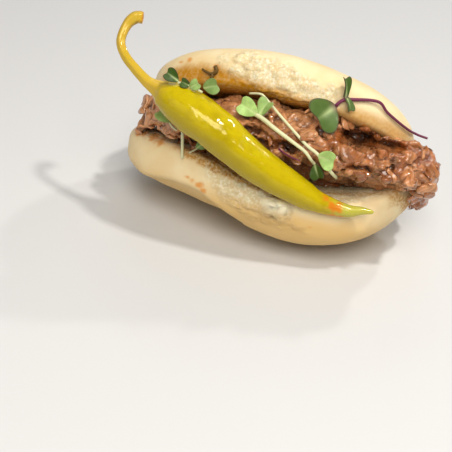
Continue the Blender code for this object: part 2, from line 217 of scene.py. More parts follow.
def flat_dough(directions):
    """Where each direction of the unit sphere lies on the dough before it is folded."""
    turn = np.arctan2(directions[:, 1], directions[:, 0])
    share = np.minimum(1, np.hypot(directions[:, 0], directions[:, 1]) ** RIM_CROWDING)
    rim_reach = FLAP_REACH * np.sign(np.sin(turn)) * np.abs(np.sin(turn)) ** (2 / LOWER_OUTLINE_POWER)
    reach = share * rim_reach
    x = share * np.copysign(half_length_at(rim_reach), np.cos(turn))
    x += by_flap(reach, LOWER_SHIFT, UPPER_SHIFT)
    on_skin = directions[:, 2] > 0
    power = SKIN_POWER_AT_ENDS + (SKIN_POWER_AT_LIP - SKIN_POWER_AT_ENDS) * np.sin(turn) ** 2
    power = np.where(on_skin, power, CRUMB_POWER)
    skin = by_flap(reach, LOWER_SKIN_THICKNESS, UPPER_SKIN_THICKNESS)
    crumb = -by_flap(reach, LOWER_CRUMB_THICKNESS, UPPER_CRUMB_THICKNESS)
    thickness = np.where(on_skin, skin, crumb) * (1 - FOLD_THINNING * bell(reach, WAIST_REACH))
    plump = 1 + (END_PLUMPNESS + PLUMPNESS_LEAN * x / CUP_AT) * (x / CUP_AT) ** 2
    thickness *= np.where(on_skin & (reach < 0), plump, 1)
    rise = thickness * (1 - share**power) ** (1 / power)
    swell = np.sin(x / 13 + 0.6) * np.cos(reach / 17 + 1.1) + 0.6 * np.sin(x / 7.5 - reach / 11)
    rise += np.where(on_skin, UNEVENNESS * swell * (1 - share**4), 0)
    return x, reach, rise, share, on_skin


def curl(x, reach):
    """How far a flap is bent in towards the other at x, fading out towards the fold."""
    cup = np.where(reach < 0, LOWER_CUP, UPPER_CUP)
    lean = np.where(reach < 0, LOWER_CUP_LEAN, UPPER_CUP_LEAN)
    curled = cup * (1 + lean * x / CUP_AT) * (x / CUP_AT) ** 2 * step_between(0, CUP_FADE, np.abs(reach))
    lift = LIFT * bell(x - LIFT_AT, LIFT_SPAN) - DROP * bell(x - DROP_AT, DROP_SPAN)
    return curled + np.where(reach < 0, lift * step_between(LIFT_FROM, LIFT_FULL_AT, -reach), 0)


def folded(x, reach, rise):
    line = fold_line()
    side = np.where(reach < 0, -1, 1)
    depth, height, slope = (np.interp(np.abs(reach), line[0], column) for column in line[1:])
    height = height + rise * np.cos(slope) - curl(x, reach)
    return np.stack([x, rise * np.sin(slope) - depth, side * height], 1)


def pressed_flat(points):
    """The soft lower flap where it rests, flattened with a rounded edge."""
    up = np.array([0, -math.sin(RECLINE), math.cos(RECLINE)])
    height = points @ up
    above = height - (height.min() + BASE_SINK)
    wanted = np.where(above <= -BASE_SOFTNESS, 0, (above + BASE_SOFTNESS) ** 2 / (4 * BASE_SOFTNESS))
    moved = np.where(above < BASE_SOFTNESS, wanted - above, 0)
    return points + moved[:, None] * up


def noise_at(points, size, offset=0.0):
    """Smooth noise of about -1 to 1 at each point, with lumps of that size."""
    scaled = points / size + offset
    return np.array([noise.noise(place) for place in scaled.tolist()])


def within(points, patch):
    """Distance from a patch's middle on the front, 1 at its edge."""
    x, z = points[:, 0] - patch.x, points[:, 2] - patch.z
    along = (x * math.cos(patch.turn) + z * math.sin(patch.turn)) / patch.half_length
    across = (z * math.cos(patch.turn) - x * math.sin(patch.turn)) / patch.half_height
    return np.hypot(along, across)


def above_line(points, line):
    """Height on the front above a line of (X, Z) that runs from left to right."""
    return points[:, 2] - np.interp(points[:, 0], *zip(*line))


def distance_to_line(points, line):
    """Distance on the front from each point to a line of (X, Z)."""
    flat = points[:, [0, 2]]
    nearest = np.full(len(flat), 1e9)
    for start, end in zip(line, line[1:]):
        start, way = np.array(start), np.array(end) - np.array(start)
        share = np.clip((flat - start) @ way / (way @ way), 0, 1)
        nearest = np.minimum(nearest, np.linalg.norm(flat - start - share[:, None] * way, axis=1))
    return nearest


def to_world(points):
    """From the bun's own frame in mm to the row's frame in metres."""
    return points @ np.array(Matrix.Rotation(-RECLINE, 3, "X")).T * MM + place_of_bun


def face_outwards(mesh):
    bmesh.ops.recalc_face_normals(mesh, faces=mesh.faces)
    if mesh.calc_volume(signed=True) < 0:
        bmesh.ops.reverse_faces(mesh, faces=mesh.faces)


def linked(name, data):
    made = bpy.data.objects.new(name, data)
    bpy.context.scene.collection.objects.link(made)
    return made


def closed_object(name, data):
    edit_mesh(data, face_outwards)
    data.shade_smooth()
    return linked(name, data)


bun_data = edit_mesh(bpy.data.meshes.new("round_cube"), cut_round_cube)
flat_x, flat_reach, flat_rise, rim_share, on_skin = flat_dough(points_of(bun_data))
bun_points = pressed_flat(folded(flat_x, flat_reach, flat_rise))

bun_low, bun_high = (np.array(corner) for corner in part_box("bun"))
place_of_bun = np.zeros(3)
leaned = to_world(bun_points)
place_of_bun = (bun_low + bun_high) / 2 - (leaned.min(0) + leaned.max(0)) / 2
place_of_bun[2] = bun_low[2] - leaned.min(0)[2]

set_points(bun_data, bun_points)
outward = normals_of(bun_data)
if np.mean(outward[:, 2] * np.sign(bun_points[:, 2]) * np.where(on_skin, 1, 0)) < 0:
    outward = -outward

x, y, z = bun_points.T
upper = z > 0
rolled = bell(1 - rim_share, LIP_ROLL_WIDTH) * ~upper
rolled *= step_between(-46, -30, x) * step_between(34, 14, x)
bun_points[:, 2] += LIP_ROLL * rolled

# The torn crumb, the skin tucked in beneath and the dough's unevenness, as movement along the normals
in_front = step_between(-38, -46, y)
ragged = 0.5 * noise_at(bun_points, 4.5) + 0.3 * noise_at(bun_points, 1.7, 5.0)
from_tear = np.minimum(within(bun_points, UPPER_TEAR), within(bun_points, LOWER_TEAR))
torn = step_between(1.15, 0.8, from_tear + ragged * 0.5) * in_front
lump = step_between(1.1, 0.3, within(bun_points, CRUMB_LUMP) + ragged * 0.4) * in_front
inside = np.where(on_skin, 0, step_between(0.99, 0.93, rim_share))
coarse = noise_at(bun_points, 3.4, 11.0)
middling = noise_at(bun_points, 1.6, 23.0)
fine = noise_at(bun_points, 0.9, 37.0)
pits = np.maximum(0, noise_at(bun_points, 2.4, 61.0) - 0.22)
below_crease = -above_line(bun_points, UNDERSIDE_CREASE)
tucked = in_front * step_between(-42, -38, x) * step_between(0, -7, x)
tucked *= step_between(-0.3, 0.5, below_crease) * step_between(11, 3, below_crease)
ridge = in_front * bell(below_crease + 1.6, 1.2) * step_between(0, -7, x)
bun_moved = 0.16 * noise_at(bun_points, 9.0, 3.0) + 0.03 * middling
bun_moved += torn * (0.1 + 0.6 * coarse + 0.6 * middling + 0.45 * fine - 2.4 * pits)
bun_moved += lump * (CRUMB_LUMP_HEIGHT + 0.7 * coarse + 1.4 * middling + 1.0 * fine)
bun_moved += inside * (0.2 * middling + 0.15 * fine)
bun_moved += RIDGE_ABOVE_CREASE * ridge - CREASE_DEPTH * tucked
at_rest = step_between(0.0006, 0.003, to_world(bun_points)[:, 2])
bun_points = bun_points + outward * (bun_moved * at_rest)[:, None]

# What stains it: spots of sauce, the band the filling has soaked, which also carries painted shade under the
# upper lip, and the golden edge
x, y, z = bun_points.T
spots = np.zeros(len(bun_points))
for spot_x, spot_z, spot_radius in SAUCE_SPOTS:
    away = np.hypot(x - spot_x, (z - spot_z) * 1.4) / spot_radius
    spots = np.maximum(spots, 0.85 * step_between(1.3, 0.2, away + 2.4 * ragged))
# Partly painted shade: the soaked band is also darker along the lower edge of the upper lip, where it lies in
# shade
soaked = step_between(1.8, -2.2, above_line(bun_points, SOAKED_LIP) + 1.6 * ragged)
soaked *= upper * step_between(-28, -42, y) * step_between(-46, -36, x) * (1 - 0.25 * step_between(18, 28, x))
toasted = step_between(-2.0, -0.3, above_line(bun_points, TOASTED_EDGE) + 1.6 * ragged)
toasted *= step_between(-47.5, -51, y) * step_between(-34, -26, x) * step_between(14, 7, x)
toasted_inside = step_between(1.9, 0.2, np.abs(y - TOASTED_INSIDE_AT) + 1.2 * ragged)
toasted = np.maximum(toasted, 0.8 * toasted_inside * step_between(6, 16, x) * ~on_skin)
toasted = np.maximum(toasted, step_between(3.5, 0.6, distance_to_line(bun_points, BROWNED_END) + ragged))
toasted *= ~upper * step_between(-20, -30, y)
# Painted shade: a thin darker line just below the tucked crease
tucked_line = in_front * bell(below_crease - 0.5, 0.7)
tucked_line *= step_between(-2, -9, x) * step_between(-42, -38, x)

set_points(bun_data, to_world(bun_points))
for mask_name, values in {
    "torn": torn,
    "inside": inside,
    "spots": spots * step_between(-34, -40, y),
    "airy": lump,
    # Painted shade: darker towards the bottom of the lower flap, and along the tucked crease
    "underneath": np.maximum(0.85 * step_between(-12, -23, z) * on_skin, tucked_line),
    "soaked": np.clip(soaked, 0, 1),
    "toasted": np.clip(toasted, 0, 1),
}.items():
    set_mask(bun_data, mask_name, values)
bun = closed_object("steamed_bun", bun_data)


def new_material(name):
    made = bpy.data.materials.new(name)
    made.use_nodes = True
    return made, made.node_tree


def feed(tree, node, inputs):
    """Links each of the node's inputs to a socket, or sets it to a value."""
    for name, value in inputs.items():
        socket = next((entry for entry in node.inputs if entry.name == name and entry.enabled), None)
        socket = socket or node.inputs[name]
        if isinstance(value, bpy.types.NodeSocket):
            tree.links.new(value, socket)
        else:
            socket.default_value = value


def add_node(tree, kind, inputs=None, **settings):
    node = tree.nodes.new(kind)
    for name, value in settings.items():
        setattr(node, name, value)
    feed(tree, node, inputs or {})
    return node


def noise_texture(tree, vector, scale, detail, roughness=0.55):
    inputs = {"Vector": vector, "Scale": scale, "Detail": detail, "Roughness": roughness}
    return add_node(tree, "ShaderNodeTexNoise", inputs).outputs["Fac"]


def object_place(tree):
    return add_node(tree, "ShaderNodeTexCoord").outputs["Object"]


def mask(tree, name):
    return add_node(tree, "ShaderNodeAttribute", attribute_name=name).outputs["Fac"]


def spread(tree, value, low, high, out_low=0.0, out_high=1.0):
    inputs = {"Value": value, "From Min": low, "From Max": high, "To Min": out_low, "To Max": out_high}
    return add_node(tree, "ShaderNodeMapRange", inputs).outputs["Result"]


def arithmetic(tree, operation, first, second):
    return add_node(tree, "ShaderNodeMath", {0: first, 1: second}, operation=operation).outputs["Value"]


def layered(tree, colour, *layers):
    """A colour under layers, each a share and a colour, which is a tuple or a socket."""
    for share, over in layers:
        under, over = ((*value, 1) if isinstance(value, tuple) else value for value in (colour, over))
        colour = add_node(tree, "ShaderNodeMix", {0: share, 6: under, 7: over}, data_type="RGBA").outputs[2]
    return colour


def bump_from(tree, height, distance, strength, normal=None):
    inputs = {"Height": height, "Distance": distance, "Strength": strength}
    if normal:
        inputs["Normal"] = normal
    return add_node(tree, "ShaderNodeBump", inputs).outputs["Normal"]


DOUGH = (0.81, 0.67, 0.41)
DOUGH_SHADE = (0.76, 0.58, 0.31)
# Painted shade: the skin's colour towards the bottom of the lower flap and along its tucked crease, darker
# and more golden
DOUGH_UNDERNEATH = (0.66, 0.42, 0.14)
CRUMB = (0.76, 0.64, 0.38)
CRUMB_BRIGHT = (0.90, 0.82, 0.62)
PIT = (0.74, 0.57, 0.30)
AIRY = (0.95, 0.88, 0.64)
TOASTED = (0.52, 0.26, 0.05)
# Sauce soak along the upper lip, partly painted shade under the lip
SOAKED = (0.48, 0.21, 0.005)
SPOTTED = (0.66, 0.26, 0.04)


def dough_material():
    made, tree = new_material("steamed_dough")
    place = object_place(tree)
    cloudy = spread(tree, noise_texture(tree, place, 70, 3), 0.35, 0.65)
    mottled = noise_texture(tree, place, 900, 4)
    open_crumb = arithmetic(tree, "MAXIMUM", mask(tree, "torn"), mask(tree, "inside"))
    pitted = spread(tree, noise_texture(tree, place, 380, 4), 0.42, 0.58)
    # Painted highlights: small bright glints scattered over the open crumb
    glints = spread(tree, noise_texture(tree, place, 1000, 3), 0.47, 0.64, 0, 0.85)
    toast = arithmetic(tree, "MULTIPLY", mask(tree, "toasted"), spread(tree, mottled, 0.40, 0.60, 0.25, 1.0))
    wet = arithmetic(tree, "MULTIPLY", mask(tree, "soaked"), spread(tree, mottled, 0.3, 0.6, 0.7, 1.0))
    colour = layered(
        tree,
        DOUGH_SHADE,
        (cloudy, DOUGH),
        (open_crumb, layered(tree, PIT, (pitted, CRUMB), (glints, CRUMB_BRIGHT))),
        (arithmetic(tree, "MULTIPLY", mask(tree, "airy"), 0.9), AIRY),
        (mask(tree, "underneath"), DOUGH_UNDERNEATH),
        (toast, TOASTED),
        (wet, SOAKED),
        (mask(tree, "spots"), SPOTTED),
    )
    skin = bump_from(tree, noise_texture(tree, place, 1500, 3), 0.05 * MM, 0.5)
    crumbly = arithmetic(tree, "MULTIPLY", noise_texture(tree, place, 680, 6, 0.7), open_crumb)
    looks = {
        "Base Color": colour,
        "Roughness": spread(tree, wet, 0, 1, 0.52, 0.3),
        "Normal": bump_from(tree, crumbly, 0.9 * MM, 0.9, skin),
        "Subsurface Weight": 0.15,
        "Subsurface Radius": (1.0, 0.6, 0.3),
        "Subsurface Scale": 2.0 * MM,
        "Specular IOR Level": 0.22,
    }
    feed(tree, tree.nodes["Principled BSDF"], looks)
    return made


bun.data.materials.append(dough_material())
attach(bun, "root")
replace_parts(bun, "bun")

# ---- Pickled pepper's route ----
# The long pepper lies across the mouth, so the filling is pressed in beneath it. These are the points of its
# middle line in the bun's frame, in mm, with its radius: from the end of the stalk to the tip.
PEPPER_ROUTE = (
    (-49.4, -57.0, 37.1, 1.9), (-52.0, -57.5, 36.6, 2.1), (-54.2, -58.5, 33.3, 1.7),
    (-54.7, -60.0, 27.8, 1.6), (-51.8, -61.5, 23.3, 1.6), (-46.9, -63.0, 19.6, 1.7),
    (-41.7, -64.0, 16.3, 2.0), (-37.3, -64.5, 14.7, 3.1), (-32.7, -65.0, 13.1, 5.8),
    (-26.4, -65.5, 10.7, 7.2), (-15.4, -65.8, 6.1, 7.4), (-5.7, -64.6, 0.7, 6.8),
    (6.5, -62.3, -5.3, 6.1), (18.9, -59.1, -10.0, 4.8), (23.4, -58.2, -11.4, 3.8),
    (29.6, -57.3, -12.4, 3.0), (35.0, -56.9, -12.5, 2.2), (39.4, -56.4, -11.5, 1.4),
    (42.6, -56.1, -11.2, 0.8),
)
PEPPER_STEP = 0.4
PRESS_GAP = 0.2


def smooth_route(points, step):
    """A Catmull-Rom curve through the points, resampled at even steps."""
    knots = np.array([points[0], *points, points[-1]], float)
    laid = []
    for before, start, end, after in zip(knots, knots[1:], knots[2:], knots[3:]):
        for share in np.linspace(0, 1, 24, endpoint=False):
            bend = 2 * before - 5 * start + 4 * end - after
            twist = 3 * start - before - 3 * end + after
            laid.append(0.5 * (2 * start + (end - before) * share + bend * share**2 + twist * share**3))
    laid = np.array([*laid, knots[-1]])
    walked = np.concatenate([[0], np.cumsum(np.linalg.norm(np.diff(laid[:, :3], axis=0), axis=1))])
    wanted = np.linspace(0, walked[-1], max(3, round(walked[-1] / step)))
    return np.stack([np.interp(wanted, walked, column) for column in laid.T], 1)


pepper_line = smooth_route(PEPPER_ROUTE, PEPPER_STEP)

# ---- Beef filling ----
# Beef braised until it falls apart, pulled into short shreds, tossed in its sauce and packed into the mouth.
# A dark wet core fills the bun. The shreds over it are pressed into one mass, and a few loose ones stick out.
CORE_VOXEL = 1.4
CORE_INSET = 3.2
CORE_UNEVENNESS = 1.3
SHRED_KINDS = 8
SHRED_SPACING = 3.1
SHRED_RINGS = 24
SHRED_SIDES = 16
SHRED_SEED = 11
SHREDS_PER_SQUARE_METRE = 90000.0
FLAKE_KINDS = 6
FLAKE_SPACING = 4.2
MEAT_VOXEL = 0.51
MEAT_STANDS_PROUD = 1.0
FIBRE_HEIGHT = 0.3
# Lumps of the sauce-coated mass: size and height, in mm
CLUMPS = ((7.0, 1.6), (3.4, 0.9), (1.5, 0.3))
HOLLOW_ROUNDS = 30
# Hollows between the clumps: X, Z, half length, half height and depth, in mm
HOLLOWS = (
    (33.0, 12.0, 10.0, 4.2, 14.0), (43.0, 12.0, 9.0, 2.6, 9.0), (8.0, 4.5, 7.0, 2.6, 3.5),
    (-3.0, 8.0, 5.0, 2.4, 3.0), (19.0, 0.0, 6.0, 3.0, 3.5), (36.0, 3.0, 7.0, 2.0, 3.0),
    (-31.0, -2.5, 8.0, 3.2, 4.0),
)
LEDGE_STEP_BACK = 13
# How much further up the beef is heaped at its left end, beside the pepper's shoulder
LEFT_HEAP = 5.0


def from_world(points):
    return ((points - place_of_bun) / MM) @ np.array(Matrix.Rotation(-RECLINE, 3, "X"))


def welded_copy(node):
    """A CAD node's shape as one closed mesh."""

    def weld(mesh):
        bmesh.ops.remove_doubles(mesh, verts=mesh.verts, dist=0.02 * MM)
        face_outwards(mesh)

    return edit_mesh(bpy.data.meshes.new(node + "_copy"), weld, [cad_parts[node].data])


def search_tree(points, data):
    return BVHTree.FromPolygons(points.tolist(), [tuple(face.vertices) for face in data.polygons])


def nearest_finder(points):
    tree = KDTree(len(points))
    for index, point in enumerate(points.tolist()):
        tree.insert(point, index)
    tree.balance()
    return tree.find


def baked(piece):
    """The piece's mesh as its modifiers leave it, made once and for all. The piece itself is removed."""
    made = bpy.data.meshes.new_from_object(piece.evaluated_get(bpy.context.evaluated_depsgraph_get()))
    bpy.data.objects.remove(piece)
    return made


def voxelled(data, size, smoothed=False):
    """The mesh built anew from voxels of that size in mm."""
    lump = linked("lump", data)
    remesh = lump.modifiers.new("voxels", "REMESH")
    remesh.mode = "VOXEL"
    remesh.voxel_size = size * MM
    if smoothed:
        lump.modifiers.new("soft", "SMOOTH").factor = 0.5
    return baked(lump)


def mesh_of(name, points, faces):
    data = bpy.data.meshes.new(name)
    data.from_pydata(points.tolist(), [], faces)
    return data


def set_fibre(data, fibre):
    made = data.attributes.new("fibre", "FLOAT_VECTOR", "POINT")
    made.data.foreach_set("vector", np.asarray(fibre, np.float32).ravel())


def grid_faces(rings, sides):
    """Quads between the rings of a tube, one ring after another."""
    ring, side = np.meshgrid(np.arange(rings - 1), np.arange(sides), indexing="ij")
    after = (side + 1) % sides
    here, there = ring * sides, (ring + 1) * sides
    return np.stack([here + side, here + after, there + after, there + side], -1).reshape(-1, 4)


def frames_along(line):
    """Directions across and up at each point of a line, carried along without twist."""
    ahead = np.gradient(line, axis=0)
    ahead /= np.linalg.norm(ahead, axis=1)[:, None]
    across = np.zeros_like(line)
    start = np.cross(ahead[0], (0, 0, 1)) if abs(ahead[0][2]) < 0.9 else np.cross(ahead[0], (1, 0, 0))
    across[0] = start / np.linalg.norm(start)
    for index in range(1, len(line)):
        carried = across[index - 1] - ahead[index] * (across[index - 1] @ ahead[index])
        across[index] = carried / np.linalg.norm(carried)
    return across, np.cross(ahead, across)


def tube(line, out, turn, frames=None):
    """A closed tube's points and faces: out has its rings' radii (rings x sides), turn the sides' angles."""
    across, up = frames or frames_along(line)
    ways = np.cos(turn)[None, :, None] * across[:, None] + np.sin(turn)[None, :, None] * up[:, None]
    points = (line[:, None] + ways * out[:, :, None]).reshape(-1, 3)
    rings, sides = out.shape
    end = (rings - 1) * sides
    faces = [tuple(face) for face in grid_faces(rings, sides)]
    faces += [(rings * sides, (side + 1) % sides, side) for side in range(sides)]
    faces += [(rings * sides + 1, end + side, end + (side + 1) % sides) for side in range(sides)]
    return np.concatenate([points, line[:1], line[-1:]]), faces


def shred_mesh(kind, numbers, lengths, widths, depths):
    """One pulled shred of beef, in metres: flat, bent, ridged along its fibres and frayed at its ends."""
    length, width, depth = (numbers.uniform(*span) for span in (lengths, widths, depths))
    along = np.linspace(-1, 1, SHRED_RINGS)
    turn = np.linspace(0, 2 * math.pi, SHRED_SIDES, endpoint=False)
    bend, wave, lift = numbers.uniform(-0.5, 0.5), numbers.uniform(-0.1, 0.1), numbers.uniform(-0.12, 0.02)
    line = np.stack(
        [
            along * length / 2,
            bend * length * 0.22 * along**2 + wave * length * np.sin(along * 3.1),
            lift * length * along**2 + 0.03 * length * np.sin(along * 5 + kind),
        ],
        1,
    )
    taper = (1 - np.abs(along) ** numbers.uniform(2.2, 4.5)) ** 0.6
    taper = 0.16 + 0.84 * taper * (1 + 0.18 * np.sin(along * numbers.uniform(3, 6) + kind))
    ridges = 0.13 * np.sin(5 * turn[None] + 1.6 * np.sin(along * 2 + kind)[:, None])
    ridges = ridges + 0.08 * np.sin(8 * turn[None] + 2.2 * along[:, None] + kind)
    lumps = [[noise.noise((a * length / 4, math.cos(t), math.sin(t) + kind)) for t in turn] for a in along]
    ridges = ridges + 0.45 * np.array(lumps)
    oval = 1 / np.sqrt((np.cos(turn) / width) ** 2 + (np.sin(turn) / depth) ** 2)
    out = oval[None] * taper[:, None] * (1 + ridges)
    data = mesh_of("shred", *tube(line * MM, out * MM, turn))
    fibre = np.zeros((len(data.vertices), 3))
    fibre[:-2, 0] = np.repeat(along * length / 2, SHRED_SIDES)
    fibre[:-2, 1] = ((oval * np.cos(turn))[None] * taper[:, None]).ravel()
    fibre[:-2, 2] = np.tile(np.sin(turn) * depth, SHRED_RINGS)
    set_fibre(data, fibre)
    return data


def shred_kinds(name, count, *spans):
    """A collection of that many different shreds."""
    made = bpy.data.collections.new(name + "_kinds")
    for kind in range(count):
        made.objects.link(bpy.data.objects.new(f"{name}_{kind}", shred_mesh(kind, numbers, *spans)))
    return made


SCATTER_INPUTS = {
    "Geometry": "NodeSocketGeometry",
    "Pieces": "NodeSocketCollection",
    "Spacing": "NodeSocketFloat",
    "Per Square Metre": "NodeSocketFloat",
    "Smallest": "NodeSocketFloat",
    "Largest": "NodeSocketFloat",
    "Tilt": "NodeSocketFloat",
    "Sink": "NodeSocketFloat",
    "Seed": "NodeSocketInt",
    "Material": "NodeSocketMaterial",
}


def scatter_tree(name):
    """Nodes that lay pieces on a surface, turned about its normal at random, and their inputs' sockets."""
    tree = bpy.data.node_groups.new(name, "GeometryNodeTree")
    sockets = {}
    for title, kind in SCATTER_INPUTS.items():
        sockets[title] = tree.interface.new_socket(title, in_out="INPUT", socket_type=kind).identifier
    tree.interface.new_socket("Geometry", in_out="OUTPUT", socket_type="NodeSocketGeometry")
    given = add_node(tree, "NodeGroupInput").outputs

    def scaled(vector, scale):
        inputs = {"Vector": vector, "Scale": scale}
        return add_node(tree, "ShaderNodeVectorMath", inputs, operation="SCALE").outputs["Vector"]

    def rotated(rotation, turn):
        inputs = {"Rotation": rotation, "Rotate By": turn}
        node = add_node(tree, "FunctionNodeRotateRotation", inputs, rotation_space="LOCAL")
        return node.outputs["Rotation"]

    def random_number(kind, low, high, offset):
        inputs = {"Min": low, "Max": high, "Seed": arithmetic(tree, "ADD", given["Seed"], offset)}
        node = add_node(tree, "FunctionNodeRandomValue", inputs, data_type=kind)
        return next(entry for entry in node.outputs if entry.enabled)

    shown = add_node(tree, "GeometryNodeInputNamedAttribute", {"Name": "shown"}, data_type="FLOAT")
    spaced = {
        "Mesh": given["Geometry"],
        "Distance Min": given["Spacing"],
        "Density Max": given["Per Square Metre"],
        "Density Factor": shown.outputs["Attribute"],
        "Seed": given["Seed"],
    }
    strewn = add_node(tree, "GeometryNodeDistributePointsOnFaces", spaced, distribute_method="POISSON")
    points = strewn.outputs
    sunk = {"Geometry": points["Points"], "Offset": scaled(points["Normal"], given["Sink"])}
    chosen = {"Collection": given["Pieces"], "Separate Children": True, "Reset Children": True}
    spin = random_number("FLOAT_VECTOR", (0, 0, -math.pi), (0, 0, math.pi), 1)
    tip = random_number("FLOAT_VECTOR", (-1, -1, 0), (1, 1, 0), 2)
    placed = {
        "Points": add_node(tree, "GeometryNodeSetPosition", sunk).outputs["Geometry"],
        "Instance": add_node(tree, "GeometryNodeCollectionInfo", chosen).outputs["Instances"],
        "Pick Instance": True,
        "Rotation": rotated(rotated(points["Rotation"], spin), scaled(tip, given["Tilt"])),
        "Scale": random_number("FLOAT", given["Smallest"], given["Largest"], 3),
    }
    laid = add_node(tree, "GeometryNodeInstanceOnPoints", placed).outputs["Instances"]
    shade = {"Geometry": laid, "Name": "shade", "Value": random_number("FLOAT", 0.0, 1.0, 4)}
    marked = add_node(tree, "GeometryNodeStoreNamedAttribute", shade, data_type="FLOAT", domain="INSTANCE")
    real = add_node(tree, "GeometryNodeRealizeInstances", {"Geometry": marked.outputs["Geometry"]})
    paint = {"Geometry": real.outputs["Geometry"], "Material": given["Material"]}
    painted = add_node(tree, "GeometryNodeSetMaterial", paint)
    add_node(tree, "NodeGroupOutput", {"Geometry": painted.outputs["Geometry"]})
    return tree, sockets


def scattered(surface_data, pieces, spacing, smallest, largest, tilt, sink):
    """Shreds laid on a surface, as one plain mesh. Spacing and sink are in mm."""
    carrier = linked("carrier", surface_data)
    modifier = carrier.modifiers.new("scatter", "NODES")
    modifier.node_group = scatter
    for name, value in {
        "Pieces": pieces,
        "Spacing": spacing * MM,
        "Per Square Metre": SHREDS_PER_SQUARE_METRE,
        "Smallest": smallest,
        "Largest": largest,
        "Tilt": tilt,
        "Sink": sink * MM,
        "Seed": SHRED_SEED,
        "Material": beef_look,
    }.items():
        modifier[scatter_sockets[name]] = value
    return baked(carrier)


def pressed_clear(points):
    """Moves points in the bun's frame out of the round pepper, in mm."""
    find = nearest_finder(pepper_line[:, :3])
    moved = points.copy()
    for index, point in enumerate(points.tolist()):
        _, nearest, distance = find(point)
        *middle, radius = pepper_line[nearest]
        wanted = radius + PRESS_GAP
        if distance < wanted:
            moved[index] = middle + (points[index] - middle) * (wanted / max(distance, 1e-3))
    return moved


def drop_crumbs(mesh):
    """Drops the tiny loose bits that the voxels leave beside the biggest part."""
    parts, unseen = [], set(mesh.verts)
    while unseen:
        part = [unseen.pop()]
        for vertex in part:
            found = {edge.other_vert(vertex) for edge in vertex.link_edges} & unseen
            unseen -= found
            part.extend(found)
        parts.append(part)
    for part in sorted(parts, key=len)[:-1]:
        bmesh.ops.delete(mesh, geom=part, context="VERTS")


def relaxed(values, edges, rounds):
    """Values averaged with their neighbours over a mesh, that many times."""
    count = len(values)
    ends = np.concatenate([edges[:, 0], edges[:, 1]])
    others = np.concatenate([edges[:, 1], edges[:, 0]])
    number = np.maximum(np.bincount(ends, minlength=count), 1)
    for _ in range(rounds):
        total = [np.bincount(ends, values[others, axis], minlength=count) for axis in range(values.shape[1])]
        values = (values + np.stack(total, 1) / number[:, None]) / 2
    return values


def kept_near(points, surface, furthest):
    """Pulls back points that stand further out of a surface than they may, all in metres."""
    kept = points.copy()
    for index, (point, most) in enumerate(zip(points.tolist(), furthest.tolist())):
        place, normal, _, distance = surface.find_nearest(point)
        if distance > most and (Vector(point) - place) @ normal > 0:
            kept[index] = place + (Vector(point) - place) * (most / distance)
    return kept


def heaped(points):
    """How far the beef is heaped up above its plain outline, in mm, at points in the bun's frame."""
    return LEFT_HEAP * step_between(-33, -42, points[:, 0]) * step_between(-3, 4, points[:, 2])


filling_solid = welded_copy("beef_filling")
filling_surface = search_tree(points_of(filling_solid), filling_solid)
core = voxelled(filling_solid, CORE_VOXEL)
core_points = points_of(core)
inset = CORE_INSET + CORE_UNEVENNESS * noise_at(from_world(core_points), 7.0, 50.0)
set_points(core, core_points - normals_of(core) * inset[:, None] * MM)
x, y, z = from_world(points_of(core)).T
at_ends = step_between(42, 48, np.abs(x)) * step_between(-12, -24, y)
set_mask(core, "shown", np.maximum(step_between(-36, -44, y), at_ends))

numbers = np.random.default_rng(SHRED_SEED)
shred_shapes = shred_kinds("shred", SHRED_KINDS, (6, 14), (1.4, 3.8), (0.8, 1.6))

MEAT = (0.27, 0.088, 0.028)
MEAT_PALE = (0.60, 0.28, 0.12)
# Dark fibre lines, also painted shade in the hollows
MEAT_DARK = (0.055, 0.017, 0.006)
MEAT_OILY = (0.40, 0.11, 0.015)


def wet_film_group():
    """A thin wet film: broken gloss and a fine uneven surface."""
    group = bpy.data.node_groups.new("wet_film", "ShaderNodeTree")
    group.interface.new_socket("Place", in_out="INPUT", socket_type="NodeSocketVector")
    for name in ("Grain", "Driest", "Wettest"):
        group.interface.new_socket(name, in_out="INPUT", socket_type="NodeSocketFloat")
    for name in ("Roughness", "Height"):
        group.interface.new_socket(name, in_out="OUTPUT", socket_type="NodeSocketFloat")
    given = add_node(group, "NodeGroupInput").outputs
    patches = noise_texture(group, given["Place"], 260, 3)
    film = {
        "Roughness": spread(group, patches, 0.38, 0.62, given["Wettest"], given["Driest"]),
        "Height": noise_texture(group, given["Place"], given["Grain"], 3, 0.5),
    }
    add_node(group, "NodeGroupOutput", film)
    return group


wet_film = wet_film_group()


def add_wet_film(tree, place, grain, driest, wettest):
    inputs = {"Place": place, "Grain": grain, "Driest": driest, "Wettest": wettest}
    node = add_node(tree, "ShaderNodeGroup", inputs, node_tree=wet_film)
    return node.outputs["Roughness"], node.outputs["Height"]


